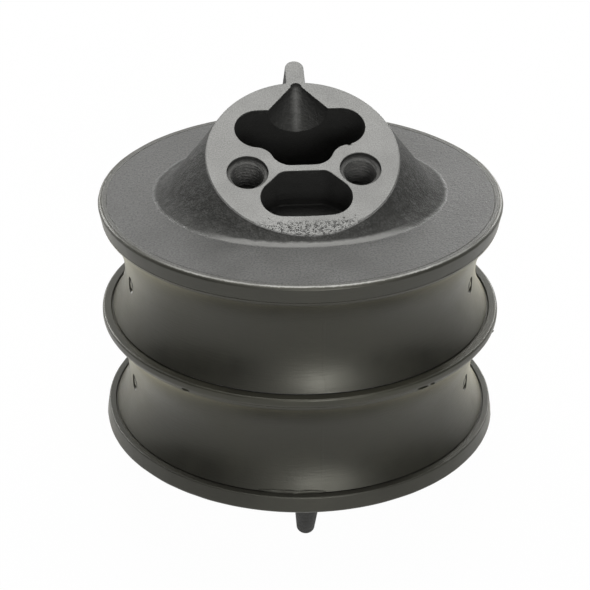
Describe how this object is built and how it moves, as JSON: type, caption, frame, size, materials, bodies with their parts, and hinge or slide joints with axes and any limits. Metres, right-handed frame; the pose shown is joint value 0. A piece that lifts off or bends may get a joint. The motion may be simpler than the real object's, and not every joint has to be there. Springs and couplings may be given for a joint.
{
  "type": "rubber-metal suspension mount",
  "caption": "Bonded rubber-metal suspension mount: waisted rubber layers, a steel interleaf, and cast ends with slanted, tapped mounting faces.",
  "frame": {"origin": "centre of the lower casting's machined mounting face", "axes": "+Z is the normal of both mounting faces, +Y the side the stack leans to and on which the upper casting has its tongue, X runs across, through both tapped holes' pitch line. The stack's own axis leans 26.5 degrees from +Z towards +Y"},
  "size_m": [0.22, 0.2565, 0.2184],
  "materials": {
    "casting": "as cast under thin dark primer, machined face satin",
    "interleaf_steel": "satin",
    "rubber": "moulded satin",
    "rubber_rim": "moulded satin"
  },
  "bodies": {
    "lower_end": {"lower_casting": "casting", "lower_rim_cover": "rubber_rim", "lower_rubber": "rubber"},
    "interleaf": {"interleaf_plate": "interleaf_steel", "interleaf_cover": "rubber_rim", "upper_rubber": "rubber"},
    "upper_end": {"upper_casting": "casting", "upper_rim_cover": "rubber_rim"}
  },
  "joints": [
    {"name": "lower_layer", "type": "slide", "parent": "lower_end", "child": "interleaf", "axis": [0, 0.4462, 0.8949], "range_m": [-0.008, 0], "stiffness_N_per_m": 1000000, "deforming": ["lower_rubber"]},
    {"name": "upper_layer", "type": "slide", "parent": "interleaf", "child": "upper_end", "axis": [0, 0.4462, 0.8949], "range_m": [-0.008, 0], "stiffness_N_per_m": 1000000, "deforming": ["upper_rubber"]}
  ],
  "couplings": [
    {"joint": "upper_layer", "follows": "lower_layer", "ratio": 1}
  ]
}
